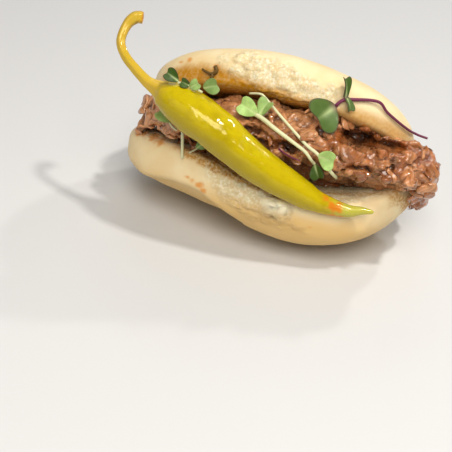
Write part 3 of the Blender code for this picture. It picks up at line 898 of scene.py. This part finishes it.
def beef_material():
    made, tree = new_material("braised_beef")
    place = object_place(tree)
    shade = mask(tree, "shade")
    fibre = add_node(tree, "ShaderNodeAttribute", attribute_name="fibre").outputs["Vector"]
    stretched = add_node(tree, "ShaderNodeMapping", {"Vector": fibre, "Scale": (0.12, 1, 1)})
    strands = {
        "Vector": stretched.outputs["Vector"],
        "W": arithmetic(tree, "MULTIPLY", shade, 40.0),
        "Scale": 1.5,
        "Detail": 3,
    }
    strand = add_node(tree, "ShaderNodeTexNoise", strands, noise_dimensions="4D").outputs["Fac"]
    colour = layered(
        tree,
        MEAT,
        (spread(tree, shade, 0.1, 0.8), MEAT_PALE),
        (spread(tree, noise_texture(tree, place, 150, 3), 0.42, 0.66, 0, 0.7), MEAT_OILY),
        (mask(tree, "sunlit"), MEAT_PALE),
        (mask(tree, "oily"), MEAT_OILY),
        (spread(tree, strand, 0.55, 0.35, 0, 0.55), MEAT_DARK),
        (spread(tree, mask(tree, "hollow"), 0.0, 1.0, 0.0, 0.85), MEAT_DARK),
    )
    roughness, beads = add_wet_film(tree, place, 650, 0.4, 0.14)
    looks = {
        "Base Color": colour,
        "Roughness": roughness,
        "Normal": bump_from(tree, beads, 0.14 * MM, 0.6, bump_from(tree, strand, 0.22 * MM, 0.7)),
        "Subsurface Weight": 0.12,
        "Subsurface Radius": (1.0, 0.35, 0.2),
        "Subsurface Scale": 1.2 * MM,
        "Coat Weight": 0.75,
        "Coat Roughness": 0.05,
        "Specular IOR Level": 0.3,
    }
    feed(tree, tree.nodes["Principled BSDF"], looks)
    return made


beef_look = beef_material()
scatter, scatter_sockets = scatter_tree("lay_shreds")
shreds = scattered(core, shred_shapes, SHRED_SPACING, smallest=0.75, largest=1.15, tilt=0.35, sink=0.9)
together = edit_mesh(bpy.data.meshes.new("meat"), sources=(core, shreds))
meat = edit_mesh(voxelled(together, MEAT_VOXEL, smoothed=True), drop_crumbs)
meat_points = points_of(meat)
find_shred = nearest_finder(points_of(shreds))
nearest_shred = np.array([find_shred(point)[1] for point in meat_points.tolist()])
fibre = read(shreds.attributes["fibre"].data, "vector", 3)[nearest_shred]
tones = read(shreds.attributes["shade"].data, "value")[nearest_shred]
set_fibre(meat, fibre)
set_mask(meat, "shade", tones)

# The fibres show as fine ridges that follow each shred
strands = fibre * (0.2, 1.5, 0.8)
strands[:, 2] += tones * 50
meat_points = meat_points + normals_of(meat) * FIBRE_HEIGHT * noise_at(strands, 1)[:, None] * MM
meat_in_bun = from_world(meat_points)
x, y, z = meat_in_bun.T
pushed = np.zeros(len(x))
for hollow_x, hollow_z, length, height, depth in HOLLOWS:
    away = np.hypot((x - hollow_x) / length, (z - hollow_z) / height)
    pushed = np.maximum(pushed, depth * step_between(1.0, 0.25, away))
on_ledge = step_between(8, 20, x) * step_between(56, 50, x)
pushed += LEDGE_STEP_BACK * on_ledge * step_between(1.5, -7.5, z)
meat_in_bun[:, 1] += pushed * step_between(-36, -56, y)
meat_in_bun[:, 2] += heaped(meat_in_bun)
set_points(meat, to_world(meat_in_bun))
clumped = sum(height * noise_at(meat_in_bun, size, 90.0) for size, height in CLUMPS)
meat_points = points_of(meat) + normals_of(meat) * clumped[:, None] * MM
meat_points = kept_near(meat_points, filling_surface, (MEAT_STANDS_PROUD + heaped(meat_in_bun)) * MM)
meat_points = to_world(pressed_clear(from_world(meat_points)))
set_points(meat, meat_points)

# Painted shade: the meat is darkened where it lies below a smoothed copy of itself, deepest in its hollows
meat_edges = read(meat.edges, "vertices", 2, np.int32)
evened = relaxed(meat_points, meat_edges, HOLLOW_ROUNDS)
meat_normals = relaxed(normals_of(meat), meat_edges, 8)
below = np.einsum("ij,ij->i", evened - meat_points, meat_normals) / MM
set_mask(meat, "hollow", step_between(0.0, 0.62, below))
x, y, z = meat_in_bun.T
under_lip = step_between(5, 12, z) * step_between(24, 14, x)
set_mask(meat, "sunlit", np.maximum(step_between(-26, -38, x), 0.6 * under_lip))
set_mask(meat, "oily", 0.7 * step_between(48, 56, x) * step_between(-1, -7, z))
meat.materials.clear()
meat.materials.append(beef_look)
pulled_beef = closed_object("pulled_beef", meat)
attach(pulled_beef, "root")
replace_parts(pulled_beef, "beef_filling")

# Thin loose shreds and flakes lie all over the mass
flake_shapes = shred_kinds("flake", FLAKE_KINDS, (3.5, 7.5), (0.9, 2.2), (0.4, 0.8))
in_mouth = step_between(-40, -46, from_world(points_of(meat))[:, 1])
set_mask(meat, "shown", in_mouth * step_between(2.0, 0.5, pushed))
flakes = scattered(meat, flake_shapes, FLAKE_SPACING, smallest=0.7, largest=1.2, tilt=0.3, sink=0.0)
flake_points = points_of(flakes)
flake_reach = (2 * MEAT_STANDS_PROUD + heaped(from_world(flake_points))) * MM
flake_points = kept_near(flake_points, filling_surface, flake_reach)
set_points(flakes, to_world(pressed_clear(from_world(flake_points))))
loose_flakes = closed_object("loose_beef", flakes)
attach(loose_flakes, "root")

# ---- Pickled pepper ----
# A long mild pepper pickled whole: thin waxy yellow skin, gently dented and wet with brine, on a curved
# ridged stalk that flares where it was cut. It lies across the mouth, pressed a little into the filling.
PEPPER_SIDES = 56
STALK_ENDS_AT = 0.305
SHOULDER_AT = 0.345
STALK_RIDGES = 5
CUT_CUP = 0.5


def pepper_rings():
    """Radii of the pepper's rings: ridged along the stalk, lobed at the shoulder and dented on the body."""
    share = np.linspace(0, 1, len(pepper_line))
    turn = np.linspace(0, 2 * math.pi, PEPPER_SIDES, endpoint=False)
    on_stalk = step_between(SHOULDER_AT, STALK_ENDS_AT, share)[:, None]
    on_body = step_between(SHOULDER_AT, 0.42, share)[:, None] * step_between(1, 0.85, share)[:, None]
    ridges = 0.055 * np.cos(STALK_RIDGES * turn[None] + 1.5 * share[:, None] * math.pi)
    lobes = 0.022 * np.cos(3 * turn[None] + 0.8 + 2.5 * share[:, None])
    lobes = lobes + 0.015 * np.cos(2 * turn[None] + 9 * share[:, None])
    round_way = np.stack([np.cos(turn), np.sin(turn)], 1) * 0.9
    dents = np.array([[noise.noise((s * 17, *way)) for way in round_way.tolist()] for s in share.tolist()])
    fine = np.array([[noise.noise((s * 60, *(way * 2.2))) for way in round_way] for s in share.tolist()])
    shape = 1 + on_stalk * ridges + on_body * (lobes + 0.045 * dents + 0.012 * fine)
    shape += 0.03 * on_stalk * fine
    radius = pepper_line[:, 3].copy()
    radius += 0.28 * bell(share - STALK_ENDS_AT - 0.005, 0.008)
    radius *= np.where(share < 0.012, 1.06, 1)
    return radius[:, None] * shape, turn, share


rings, ring_turn, pepper_share = pepper_rings()
middle = pepper_line[:, :3]
start_way = (middle[0] - middle[1]) / np.linalg.norm(middle[0] - middle[1])
tip_way = (middle[-1] - middle[-2]) / np.linalg.norm(middle[-1] - middle[-2])
cup_middle = np.stack([middle[0] + start_way * part for part in (-CUT_CUP, -0.1, 0.1)])
cup_rings = rings[0][None] * np.array([0.3, 0.62, 0.86])[:, None]
tip_middle = np.stack([middle[-1] + tip_way * part for part in (0.35, 0.7, 0.95)])
tip_rings = rings[-1][None] * np.array([0.86, 0.55, 0.22])[:, None]
pepper_middle = np.concatenate([cup_middle, middle, tip_middle])
pepper_out = np.concatenate([cup_rings, rings, tip_rings])

# The tube has the plain line's frames, so that its end rings keep the line's own directions
frames = tuple(np.pad(ways, ((3, 3), (0, 0)), mode="edge") for ways in frames_along(middle))
pepper_points, pepper_faces = tube(pepper_middle, pepper_out, ring_turn, frames)
pepper_data = mesh_of("pepper", to_world(pepper_points), pepper_faces)
along = np.concatenate([np.repeat(np.concatenate([[0] * 3, pepper_share, [1] * 3]), PEPPER_SIDES), [0, 1]])
set_mask(pepper_data, "stalk", step_between(SHOULDER_AT, STALK_ENDS_AT - 0.02, along))
set_mask(pepper_data, "tip", step_between(0.86, 0.93, along))
stain = step_between(4.4, 1.6, np.abs(pepper_points[:, 0] - 29.5 + 0.35 * (pepper_points[:, 2] + 11)))
stain *= step_between(-0.35, 0.3, noise_at(pepper_points, 2.2, 71.0))
# Painted shade: the lower flank, below the pepper's middle line, takes the deeper colour
above_middle = pepper_points[:, 2] - np.interp(along, pepper_share, middle[:, 2])
set_mask(pepper_data, "far_side", 0.8 * step_between(0.25, -0.6, above_middle / 7))
set_mask(pepper_data, "stain", np.maximum(stain, 0.55 * step_between(0.004, 0.0, along)))

PEPPER = (0.52, 0.40, 0.001)
# Deeper random mottling, also painted shade on the lower flank
PEPPER_DEEP = (0.38, 0.28, 0.001)
PEPPER_STALK = (0.58, 0.38, 0.04)
PEPPER_TIP = (0.46, 0.42, 0.06)
PEPPER_STAIN = (0.62, 0.20, 0.01)


def pepper_material():
    made, tree = new_material("pickled_pepper_skin")
    place = object_place(tree)
    cloudy = noise_texture(tree, place, 120, 3)
    mottled = noise_texture(tree, place, 600, 4)
    stalk = arithmetic(tree, "MULTIPLY", mask(tree, "stalk"), spread(tree, cloudy, 0.3, 0.6, 0.6, 1.0))
    colour = layered(
        tree,
        PEPPER_DEEP,
        (spread(tree, cloudy, 0.25, 0.5), PEPPER),
        (mask(tree, "far_side"), PEPPER_DEEP),
        (spread(tree, mottled, 0.5, 0.75, 0, 0.35), PEPPER_DEEP),
        (stalk, PEPPER_STALK),
        (mask(tree, "tip"), PEPPER_TIP),
        (mask(tree, "stain"), PEPPER_STAIN),
    )
    roughness, beads = add_wet_film(tree, place, 820, 0.10, 0.05)
    looks = {
        "Base Color": colour,
        "Roughness": roughness,
        "Normal": bump_from(tree, beads, 0.16 * MM, 0.65),
        "Subsurface Weight": 0.35,
        "Subsurface Radius": (1.0, 0.7, 0.1),
        "Subsurface Scale": 2.0 * MM,
        "Specular IOR Level": 0.5,
        "Specular Tint": (1, 0.95, 0.6, 1),
    }
    feed(tree, tree.nodes["Principled BSDF"], looks)
    return made


pepper_data.materials.append(pepper_material())
pepper = closed_object("yellow_pepper", pepper_data)
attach(pepper, "root")
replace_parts(pepper, "pickled_pepper")

# ---- Cress sprigs ----
# Small sprigs of radish and red cabbage cress: pale or purple juicy stems with soft notched seed leaves.
# They are dropped on last and lie over the beef, the pepper and the bun's lip.
STEM_SIDES = 10
STEM_STEP = 0.7
STEM_REACH = 0.9
LAY_CLEARANCE = 0.15
LEAF_THICKNESS = 0.32
LEAF_RINGS = 8
LEAF_SPOKES = 40
# A stem runs through (X, Z) in mm as seen from the mouth, with a radius at each end. A leaf is where its
# stalk meets it, its size, then in degrees its direction, how far it tips out and how far it rolls over, and
# last how much it folds and how dark it is.
Sprig = namedtuple("Sprig", "tint radii stem leaves")
Leaf = namedtuple("Leaf", "x z length width turn tip roll fold dark")
SPRIGS = {
    "purple_sprig": Sprig(
        "purple",
        (0.62, 0.42),
        ((22.6, 21.6), (24.4, 23.8), (27.9, 24.8), (36.2, 25.7), (40.5, 22.4), (50.0, 17.4), (56.0, 16.2)),
        (
            Leaf(22.6, 21.6, 9.6, 15.4, turn=228, tip=14, roll=-10, fold=0.34, dark=0.85),
            Leaf(25.0, 24.2, 8.8, 4.6, turn=103, tip=4, roll=55, fold=0.6, dark=0.95),
            Leaf(25.0, 25.4, 6.6, 4.2, turn=299, tip=10, roll=-50, fold=0.55, dark=0.9),
        ),
    ),
    "paired_sprig": Sprig(
        "pale",
        (0.85, 0.5),
        ((-5.0, 13.4), (-1.0, 12.4), (3.3, 10.7), (13.0, 6.2), (16.6, 4.3), (19.4, 1.4), (20.4, 0.2)),
        (
            Leaf(-2.8, 13.2, 8.4, 7.6, turn=158, tip=14, roll=10, fold=0.3, dark=0.0),
            Leaf(-1.8, 13.0, 7.0, 7.4, turn=66, tip=-10, roll=-30, fold=0.5, dark=0.3),
            Leaf(20.2, 1.0, 6.6, 6.2, turn=300, tip=4, roll=20, fold=0.4, dark=0.95),
        ),
    ),
    "heart_sprig": Sprig(
        "pale",
        (0.42, 0.62),
        (
            (-7.4, 19.4), (-3.4, 20.1), (-1.4, 19.2), (4.9, 14.6),
            (11.6, 9.9), (16.5, 6.6), (21.4, 4.0), (28.3, -2.4),
        ),
        (Leaf(20.9, 4.3, 7.4, 7.8, turn=352, tip=16, roll=12, fold=0.32, dark=0.0),),
    ),
    "clustered_sprig": Sprig(
        "pale",
        (0.42, 0.42),
        ((-29.9, 18.6), (-26.6, 18.4), (-23.0, 17.6), (-21.2, 17.0)),
        (
            Leaf(-29.8, 18.9, 6.0, 5.6, turn=155, tip=8, roll=20, fold=0.4, dark=1.0),
            Leaf(-25.4, 18.4, 4.2, 4.0, turn=165, tip=8, roll=-10, fold=0.5, dark=0.95),
            Leaf(-25.6, 17.6, 4.6, 4.4, turn=42, tip=12, roll=10, fold=0.35, dark=0.25),
            Leaf(-21.2, 18.6, 6.6, 6.4, turn=24, tip=12, roll=12, fold=0.45, dark=0.5),
        ),
    ),
}
# Loose bits of the same greens, tucked under the pepper or lying between the clumps of beef
LOOSE_GREENS = {
    "peeking_leaf": Sprig(
        "pale",
        (0.4, 0.4),
        ((-33.0, 4.0), (-31.5, 2.6), (-29.5, 1.6)),
        (Leaf(-32.4, 4.0, 6.8, 6.2, turn=150, tip=6, roll=20, fold=0.35, dark=0.25),),
    ),
    "hanging_stem": Sprig(
        "pale", (0.6, 0.45), ((-27.6, 2.4), (-27.2, -1.0), (-26.8, -4.6), (-26.4, -8.0)), ()
    ),
    "tucked_leaf": Sprig(
        "pale",
        (0.4, 0.3),
        ((-20.6, -1.6), (-22.2, -3.6), (-24.4, -5.6)),
        (Leaf(-22.6, -3.6, 5.6, 4.6, turn=48, tip=4, roll=20, fold=0.4, dark=0.5),),
    ),
    "purple_shred": Sprig("purple", (0.4, 0.25), ((7.0, 3.2), (9.4, 2.2), (12.2, 1.5), (15.2, 1.1)), ()),
    "dried_curl": Sprig(
        "dried", (0.4, 0.75), ((-26.0, 24.0), (-24.0, 23.4), (-21.8, 23.2), (-20.4, 24.6), (-21.4, 26.0)), ()
    ),
    "upright_stem": Sprig("dried", (0.6, 0.6), ((-21.6, 23.4), (-21.8, 20.6), (-21.4, 17.6)), ()),
}


def leaf_mesh(leaf):
    """A seed leaf in its own frame: two round lobes, growing along +X from its stalk and facing +Z."""
    length, width = leaf.length, leaf.width
    spoke = np.linspace(0, 2 * math.pi, LEAF_SPOKES, endpoint=False)
    rim_x = length * (0.5 - 0.5 * np.cos(spoke)) - 0.2 * length * bell(spoke - math.pi, 0.42)
    rim_y = width / 2 * np.sin(spoke) * (0.5 + 0.6 * np.clip(rim_x / length, 0, 1) ** 0.8)
    ring = np.linspace(0, 1, LEAF_RINGS + 1)[1:]
    middle_x = 0.45 * length
    x = np.concatenate([[middle_x], (middle_x + (rim_x[None] - middle_x) * ring[:, None]).ravel()])
    y = np.concatenate([[0], (rim_y[None] * ring[:, None]).ravel()])
    along, across = x / length, y / (width / 2)
    edge = np.concatenate([[0], np.repeat(ring, LEAF_SPOKES)])
    z = leaf.fold * np.abs(y) * 0.8 + 0.08 * length * np.sin(np.clip(along, 0, 1) * math.pi)
    z += 0.05 * length * edge**3 * np.sin(3 * np.concatenate([[0], np.tile(spoke, LEAF_RINGS)]) + length)
    faces = [(0, 1 + side, 1 + (side + 1) % LEAF_SPOKES) for side in range(LEAF_SPOKES)]
    faces += [tuple(face) for face in grid_faces(LEAF_RINGS, LEAF_SPOKES)[:, [0, 3, 2, 1]] + 1]
    return np.stack([x, y, z], 1), faces, along, across, edge


front_surfaces = [search_tree(from_world(points_of(data)), data) for data in (bun_data, meat, pepper_data)]


def front_at(x, z, surfaces):
    """The Y of the foremost of the surfaces behind (x, z), in mm in the bun's frame, or None."""
    hits = [surface.ray_cast((x, -200, z), (0, 1, 0))[0] for surface in surfaces]
    return min((hit.y for hit in hits if hit), default=None)


def foremost(x, z, reach, surfaces):
    """The Y of the foremost surface within reach of (x, z), or None."""
    turns = [index * math.pi / 3 for index in range(6)]
    around = [(x, z)] + [(x + reach * math.cos(turn), z + reach * math.sin(turn)) for turn in turns]
    fronts = [front_at(*place, surfaces) for place in around]
    return min((front for front in fronts if front is not None), default=None)


def is_behind(middle, start, end):
    share = (middle[0] - start[0]) / (end[0] - start[0])
    return middle[1] >= start[1] + share * (end[1] - start[1])


def bridged(fronts):
    """The fronts as a stiff stem meets them: it touches the foremost ones and spans the hollows between."""
    touched = []
    for here in enumerate(fronts):
        if here[1] is None:
            continue
        while len(touched) > 1 and is_behind(touched[-1], touched[-2], here):
            touched.pop()
        touched.append(here)
    return np.interp(range(len(fronts)), *zip(*touched))


def laid_stem(spec, surfaces):
    """The stem's middle line, just in front of what is behind it, with its radius."""
    flat = smooth_route([(x, 0, z, 0) for x, z in spec.stem], STEM_STEP)
    fronts = bridged([foremost(x, z, STEM_REACH, surfaces) for x, _, z, _ in flat])
    flat[:, 3] = np.linspace(*spec.radii, len(flat))
    flat[:, 1] = fronts - flat[:, 3] - LAY_CLEARANCE
    return flat


def laid_leaf(leaf, line, surfaces):
    """The leaf's points in the bun's frame, clear of what is behind it, and its masks' coordinates."""
    points, faces, along, across, edge = leaf_mesh(leaf)
    nearest = line[np.argmin(np.hypot(line[:, 0] - leaf.x, line[:, 2] - leaf.z))]
    turn, tip, roll = (math.radians(angle) for angle in (leaf.turn, leaf.tip, leaf.roll))
    ahead = Vector((math.cos(turn), 0, math.sin(turn)))
    faces_out = Vector((0, -1, 0))
    turned = Matrix((ahead, faces_out.cross(ahead), faces_out)).transposed()
    tipped = turned @ Matrix.Rotation(-tip, 3, "Y") @ Matrix.Rotation(roll, 3, "X")
    placed = points @ np.array(tipped).T + np.array((leaf.x, nearest[1], leaf.z))
    fronts = [front_at(px, pz, surfaces) for px, _, pz in placed.tolist()]
    sunk = [y - front if front is not None else -9 for (_, y, _), front in zip(placed.tolist(), fronts)]
    most = max(0.0, float(np.percentile(sunk, 92)) + LAY_CLEARANCE + LEAF_THICKNESS)
    placed[:, 1] -= most * step_between(0.0, 0.6, along)
    return placed, faces, along, across, edge


LEAF = (0.43, 0.63, 0.20)
LEAF_DARK = (0.035, 0.075, 0.008)
LEAF_VEIN = (0.55, 0.66, 0.30)
LEAF_RIM = (0.10, 0.03, 0.05)
STEM_PALE = (0.66, 0.66, 0.40)
STEM_PURPLE = (0.16, 0.035, 0.075)
DRIED = (0.13, 0.075, 0.02)
GREEN_MASKS = ("purple", "pale", "dried", "dark", "vein", "rim")


def leaf_material():
    made, tree = new_material("cress")
    place = object_place(tree)
    colour = layered(
        tree,
        LEAF,
        (mask(tree, "dark"), LEAF_DARK),
        (spread(tree, noise_texture(tree, place, 500, 3), 0.35, 0.7, 0, 0.3), LEAF_DARK),
        (mask(tree, "vein"), LEAF_VEIN),
        (mask(tree, "rim"), LEAF_RIM),
        (mask(tree, "pale"), STEM_PALE),
        (mask(tree, "purple"), STEM_PURPLE),
        (mask(tree, "dried"), DRIED),
    )
    roughness, beads = add_wet_film(tree, place, 1400, 0.55, 0.32)
    normal = bump_from(tree, beads, 0.08 * MM, 0.5)
    looks = {"Base Color": colour, "Roughness": roughness, "Normal": normal, "Specular IOR Level": 0.14}
    feed(tree, tree.nodes["Principled BSDF"], looks)
    return made


leaf_look = leaf_material()


def masked_mesh(name, points, faces, shown):
    """A mesh with all the masks of the greens, in which those not shown are zero."""
    data = mesh_of(name, to_world(points), faces)
    for mask_name in GREEN_MASKS:
        set_mask(data, mask_name, shown.get(mask_name, np.zeros(len(points))))
    return data


def stem_mesh(tint, line):
    turn = np.linspace(0, 2 * math.pi, STEM_SIDES, endpoint=False)
    points, faces = tube(line[:, :3], np.repeat(line[:, 3:], STEM_SIDES, 1), turn)
    return masked_mesh("stem", points, faces, {tint: np.ones(len(points))})


def leaf_solid(leaf, tint, line, surfaces):
    """A leaf laid in its place, thickened and rounded."""
    points, faces, along, across, edge = laid_leaf(leaf, line, surfaces)
    veins = bell(across, 0.16 - 0.1 * along) * step_between(1.0, 0.0, along)
    rim = step_between(0.86, 1.0, edge) * leaf.dark
    shown = {"dark": np.full(len(along), leaf.dark), "vein": veins * 0.8, "rim": rim * 0.6}
    if tint == "purple":
        shown["purple"] = 0.75 * step_between(0.30, 0.02, along) * step_between(0.5, 0.0, np.abs(across))
    carrier = linked("leaf_carrier", masked_mesh("leaf", points, faces, shown))
    thick = carrier.modifiers.new("thick", "SOLIDIFY")
    thick.thickness = LEAF_THICKNESS * MM
    thick.offset = 0
    rounded = carrier.modifiers.new("rounded", "SUBSURF")
    rounded.levels = rounded.render_levels = 1
    return baked(carrier)


def make_sprig(name, spec, surfaces):
    """A stem with its leaves as one piece, whose masks say which part is which."""
    line = laid_stem(spec, surfaces)
    leaves = [leaf_solid(leaf, spec.tint, line, surfaces) for leaf in spec.leaves]
    data = edit_mesh(bpy.data.meshes.new(name), sources=[stem_mesh(spec.tint, line), *leaves])
    data.materials.append(leaf_look)
    sprig = closed_object(name + "_green", data)
    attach(sprig, "root")
    return sprig


for sprig_name, sprig_spec in SPRIGS.items():
    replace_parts(make_sprig(sprig_name, sprig_spec, front_surfaces), sprig_name)
for sprig_name, sprig_spec in LOOSE_GREENS.items():
    make_sprig(sprig_name, sprig_spec, front_surfaces[:2])

# ---- Floor, light and camera ----
# A plain pale floor under soft studio light.
VIEW_ELEVATION = math.radians(28)
VIEW_YAW = math.radians(8)
VIEW_ROLL = math.radians(9)
VIEW_DISTANCE = 0.34
MM_PER_PIXEL = 0.377
IMAGE_SIZE = 452
LOOKED_AT = (0, -26.8, 16.2)  # from the bun's own origin, in mm
LOOKED_AT_IN_IMAGE = (271, 136)

# Where the lights point, in metres
LIT_AT = (0, 0, 0.03)


def lay_floor(mesh):
    bmesh.ops.create_grid(mesh, x_segments=1, y_segments=1, size=3)


floor = linked("floor", edit_mesh(bpy.data.meshes.new("floor"), lay_floor))
floor_look, floor_tree = new_material("pale_floor")
feed(floor_tree, floor_tree.nodes["Principled BSDF"], {"Base Color": (0.62, 0.62, 0.62, 1), "Roughness": 0.7})
floor.data.materials.append(floor_look)


def add_area_light(name, place, size, power, colour):
    light = bpy.data.lights.new(name, "AREA")
    light.size = size
    light.energy = power
    light.color = colour
    made = linked(name, light)
    made.location = place
    made.rotation_euler = (Vector(LIT_AT) - Vector(place)).to_track_quat("-Z", "Y").to_euler()


add_area_light("key_light", (0.12, -0.52, 0.70), 0.45, 5.6, (1, 0.955, 0.88))
add_area_light("glint_light", (0.34, -0.10, 0.86), 0.06, 4.0, (1, 0.97, 0.92))
add_area_light("rim_glint_light", (0.36, 0.50, 0.56), 0.05, 1.4, (1, 0.97, 0.92))
add_area_light("fill_light", (-0.6, -0.9, 0.5), 0.9, 1.5, (1, 0.97, 0.92))
add_area_light("back_light", (-0.2, 0.8, 0.7), 0.6, 1.1, (1, 1, 1))

world = bpy.data.worlds.new("studio")
world.use_nodes = True
feed(world.node_tree, world.node_tree.nodes["Background"], {"Color": (0.95, 0.96, 1, 1), "Strength": 0.22})
bpy.context.scene.world = world
bpy.context.scene.view_settings.view_transform = "Standard"


def aim_camera():
    """Looks at the middle of the bun, then turns so that it falls on its own place in the image."""
    focal = VIEW_DISTANCE / (MM_PER_PIXEL * MM)
    middle = Vector(place_of_bun) + Vector(LOOKED_AT) * MM
    back = Vector(
        (
            math.sin(VIEW_YAW) * math.cos(VIEW_ELEVATION),
            -math.cos(VIEW_YAW) * math.cos(VIEW_ELEVATION),
            math.sin(VIEW_ELEVATION),
        )
    )
    rolled = (-back).to_track_quat("-Z", "Y").to_matrix() @ Matrix.Rotation(VIEW_ROLL, 3, "Z")
    across, down = (place - IMAGE_SIZE / 2 for place in LOOKED_AT_IN_IMAGE)
    towards = Vector((across / focal, -down / focal, -1)).normalized()
    turned = rolled @ Vector((0, 0, -1)).rotation_difference(towards).to_matrix().inverted()
    lens = bpy.data.cameras.new("camera")
    lens.sensor_width = 36
    lens.lens = focal / IMAGE_SIZE * lens.sensor_width
    camera = linked("camera", lens)
    camera.matrix_world = Matrix.Translation(middle + back * VIEW_DISTANCE) @ turned.to_4x4()
    bpy.context.scene.camera = camera


aim_camera()
